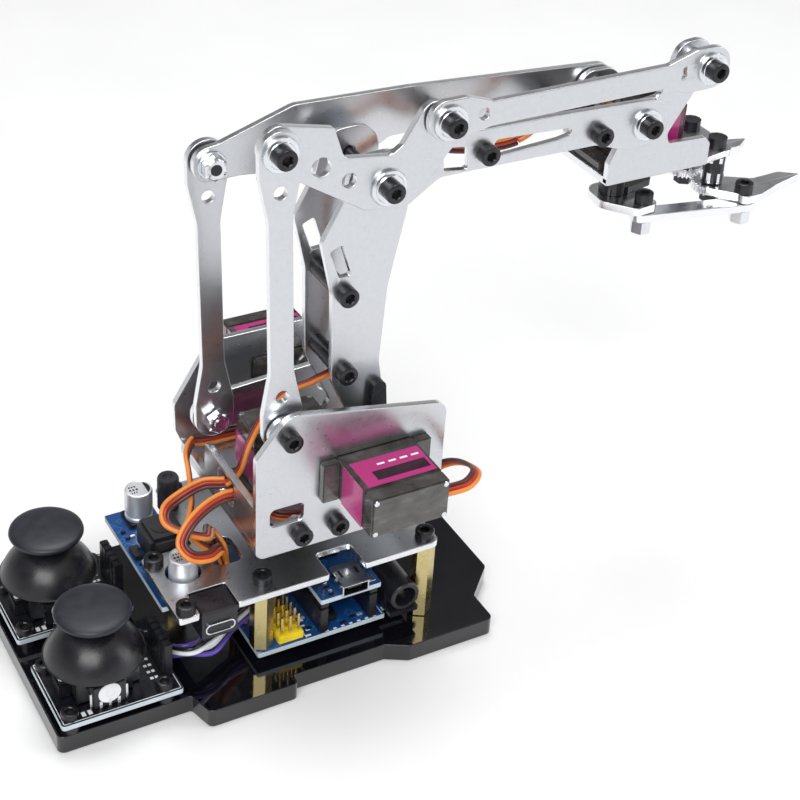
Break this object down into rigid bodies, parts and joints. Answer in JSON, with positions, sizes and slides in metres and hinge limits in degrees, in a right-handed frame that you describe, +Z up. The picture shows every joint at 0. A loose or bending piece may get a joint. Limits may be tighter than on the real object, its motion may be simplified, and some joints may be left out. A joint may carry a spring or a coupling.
{
  "type": "desktop robot arm",
  "caption": "Small servo-driven arm with parallel linkages of sheet aluminium, a jaw gripper and joystick controls on a black base plate.",
  "frame": {"origin": "on the table under the yaw axis, at the base plate's underside", "axes": "+X forwards along the arm, +Y to the arm's left, +Z up; the arm stands at rest as the object is shown"},
  "size_m": [0.2342, 0.0956, 0.1676],
  "materials": {
    "aluminium_sheet": "fine bead-blasted sheet with bright cut edges",
    "jaw_aluminium": "bright satin, cut edges polished",
    "black_acrylic": "gloss sheet, fine dust and hairline scratches",
    "black_plastic": "moulded, satin",
    "servo_case": "dark translucent moulding",
    "black_oxide_screw": "black oxide, satin",
    "zinc_steel": "zinc plated",
    "brass": "turned hexagon bar",
    "blue_board": "solder mask over fibreglass",
    "black_board": "solder mask with a white printed border",
    "yellow_plastic": "moulded",
    "capacitor_can": "drawn can, satin",
    "lead_insulation": "three-core flat lead in orange, red and brown"
  },
  "bodies": {
    "base": {"base_plate": "black_acrylic", "deck_plate": "aluminium_sheet", "standoff_1": "brass", "standoff_2": "brass", "standoff_3": "brass", "standoff_4": "brass", "yaw_pedestal": "black_plastic", "expansion_board": "blue_board", "servo_header": "yellow_plastic", "power_jack": "black_plastic", "controller_board": "blue_board", "power_board": "blue_board", "usb_module": "black_plastic", "capacitor_near": "capacitor_can", "capacitor_far": "capacitor_can", "joystick_board_near": "black_board", "joystick_housing_near": "black_plastic", "joystick_board_far": "black_board", "joystick_housing_far": "black_plastic"},
    "turret": {"turret_floor": "aluminium_sheet", "side_plate_near": "aluminium_sheet", "side_plate_far": "aluminium_sheet", "back_plate": "aluminium_sheet", "shoulder_servo": "servo_case", "elbow_servo": "servo_case", "yaw_servo": "servo_case", "lead_shoulder": "lead_insulation", "lead_elbow": "lead_insulation", "lead_gripper": "lead_insulation"},
    "lower_arm": {"lower_arm_near": "aluminium_sheet", "lower_arm_far": "aluminium_sheet", "shoulder_horn": "black_plastic", "lower_arm_spacer_1": "black_oxide_screw", "lower_arm_spacer_2": "black_oxide_screw", "elbow_screw": "black_oxide_screw"},
    "level_rod": {"level_rod": "aluminium_sheet"},
    "triangle": {"elbow_triangle": "aluminium_sheet"},
    "forearm": {"forearm_near": "aluminium_sheet", "forearm_far": "aluminium_sheet", "forearm_spacer_1": "black_oxide_screw", "forearm_spacer_2": "black_oxide_screw"},
    "top_link": {"top_link": "aluminium_sheet"},
    "bracket": {"gripper_bracket": "aluminium_sheet", "gripper_servo": "servo_case", "jaw_post_near": "black_oxide_screw", "jaw_post_far": "black_oxide_screw"},
    "lever": {"elbow_lever": "aluminium_sheet"},
    "lever_pin": {"lever_pin": "zinc_steel"},
    "drive_rod": {"drive_rod": "aluminium_sheet"},
    "crank": {"grip_crank": "jaw_aluminium", "grip_horn": "black_plastic"},
    "grip_bar": {"grip_bar": "jaw_aluminium"},
    "jaw_near": {"jaw_near": "jaw_aluminium"},
    "jaw_far": {"jaw_far": "jaw_aluminium"},
    "joystick_near_cross": {"joystick_cross_near": "zinc_steel"},
    "joystick_near_dome": {"joystick_dome_near": "black_plastic"},
    "joystick_near_cap": {"joystick_cap_near": "black_plastic"},
    "joystick_far_cross": {"joystick_cross_far": "zinc_steel"},
    "joystick_far_dome": {"joystick_dome_far": "black_plastic"},
    "joystick_far_cap": {"joystick_cap_far": "black_plastic"}
  },
  "joints": [
    {"name": "base_yaw", "type": "hinge", "parent": "base", "child": "turret", "pos_m": [0, 0, 0.046], "axis": [0, 0, 1], "range_deg": [-90, 90], "deforming": ["lead_shoulder", "lead_elbow", "lead_gripper"]},
    {"name": "shoulder", "type": "hinge", "parent": "turret", "child": "lower_arm", "pos_m": [0.0134, -0.015, 0.0643], "axis": [0, 1, 0], "range_deg": [-22, 50]},
    {"name": "level_rod_foot", "type": "hinge", "parent": "turret", "child": "level_rod", "pos_m": [-0.01765, -0.0225, 0.08046], "axis": [0, 1, 0], "range_deg": [-23, 51]},
    {"name": "elbow_level", "type": "hinge", "parent": "lower_arm", "child": "triangle", "pos_m": [0.01089, -0.02, 0.14426], "axis": [0, 1, 0], "range_deg": [-51, 23]},
    {"name": "elbow", "type": "hinge", "parent": "triangle", "child": "forearm", "pos_m": [0.01089, -0.01, 0.14426], "axis": [0, 1, 0], "range_deg": [-12, 28]},
    {"name": "top_link_rear", "type": "hinge", "parent": "triangle", "child": "top_link", "pos_m": [0.02603, -0.0225, 0.16022], "axis": [0, 1, 0], "range_deg": [-13, 29]},
    {"name": "wrist", "type": "hinge", "parent": "forearm", "child": "bracket", "pos_m": [0.09087, -0.005, 0.14566], "axis": [0, 1, 0], "range_deg": [-29, 13]},
    {"name": "elbow_lever", "type": "hinge", "parent": "turret", "child": "lever", "pos_m": [0.0134, 0.0142, 0.0643], "axis": [0, 1, 0], "range_deg": [-13, 29]},
    {"name": "lever_pin_turn", "type": "hinge", "parent": "lever", "child": "lever_pin", "pos_m": [-0.02159, 0.0128, 0.06369], "axis": [0, 1, 0], "range_deg": [-29, 13]},
    {"name": "drive_rod_foot", "type": "hinge", "parent": "lever_pin", "child": "drive_rod", "pos_m": [-0.02159, 0.0115, 0.06369], "axis": [0, 1, 0], "range_deg": [-23, 51]},
    {"name": "grip", "type": "hinge", "parent": "bracket", "child": "crank", "pos_m": [0.093, -0.0045, 0.117], "axis": [0, 0, 1], "range_deg": [-15, 20]},
    {"name": "grip_bar_rear", "type": "hinge", "parent": "crank", "child": "grip_bar", "pos_m": [0.0976, -0.0134, 0.1145], "axis": [0, 0, 1], "range_deg": [-21, 16]},
    {"name": "jaw_near_pivot", "type": "hinge", "parent": "bracket", "child": "jaw_near", "pos_m": [0.1233, -0.0107, 0.1172], "axis": [0, 0, 1], "range_deg": [-16, 21]},
    {"name": "jaw_far_pivot", "type": "hinge", "parent": "bracket", "child": "jaw_far", "pos_m": [0.1233, 0.0017, 0.1172], "axis": [0, 0, 1], "range_deg": [-21, 16]},
    {"name": "joystick_near_roll", "type": "hinge", "parent": "base", "child": "joystick_near_cross", "pos_m": [-0.0686, -0.0174, 0.0164], "axis": [1, 0, 0], "range_deg": [-20, 20], "stiffness_Nm_per_rad": 0.02},
    {"name": "joystick_near_pitch", "type": "hinge", "parent": "joystick_near_cross", "child": "joystick_near_dome", "pos_m": [-0.0686, -0.0174, 0.0164], "axis": [0, 1, 0], "range_deg": [-20, 20], "stiffness_Nm_per_rad": 0.02},
    {"name": "joystick_near_press", "type": "slide", "parent": "joystick_near_dome", "child": "joystick_near_cap", "axis": [0, 0, 1], "range_m": [-0.0005, 0], "stiffness_N_per_m": 600},
    {"name": "joystick_far_roll", "type": "hinge", "parent": "base", "child": "joystick_far_cross", "pos_m": [-0.0686, 0.0188, 0.0164], "axis": [1, 0, 0], "range_deg": [-20, 20], "stiffness_Nm_per_rad": 0.02},
    {"name": "joystick_far_pitch", "type": "hinge", "parent": "joystick_far_cross", "child": "joystick_far_dome", "pos_m": [-0.0686, 0.0188, 0.0164], "axis": [0, 1, 0], "range_deg": [-20, 20], "stiffness_Nm_per_rad": 0.02},
    {"name": "joystick_far_press", "type": "slide", "parent": "joystick_far_dome", "child": "joystick_far_cap", "axis": [0, 0, 1], "range_m": [-0.0005, 0], "stiffness_N_per_m": 600}
  ],
  "couplings": [
    {"joint": "level_rod_foot", "follows": "shoulder", "ratio": 1},
    {"joint": "elbow_level", "follows": "shoulder", "ratio": -1},
    {"joint": "top_link_rear", "follows": "elbow", "ratio": 1},
    {"joint": "wrist", "follows": "elbow", "ratio": -1},
    {"joint": "elbow_lever", "follows": "elbow", "ratio": 1},
    {"joint": "lever_pin_turn", "follows": "elbow", "ratio": -1},
    {"joint": "drive_rod_foot", "follows": "shoulder", "ratio": 1},
    {"joint": "grip_bar_rear", "follows": "grip", "ratio": -1},
    {"joint": "jaw_near_pivot", "follows": "grip", "ratio": 1},
    {"joint": "jaw_far_pivot", "follows": "grip", "ratio": -1}
  ]
}
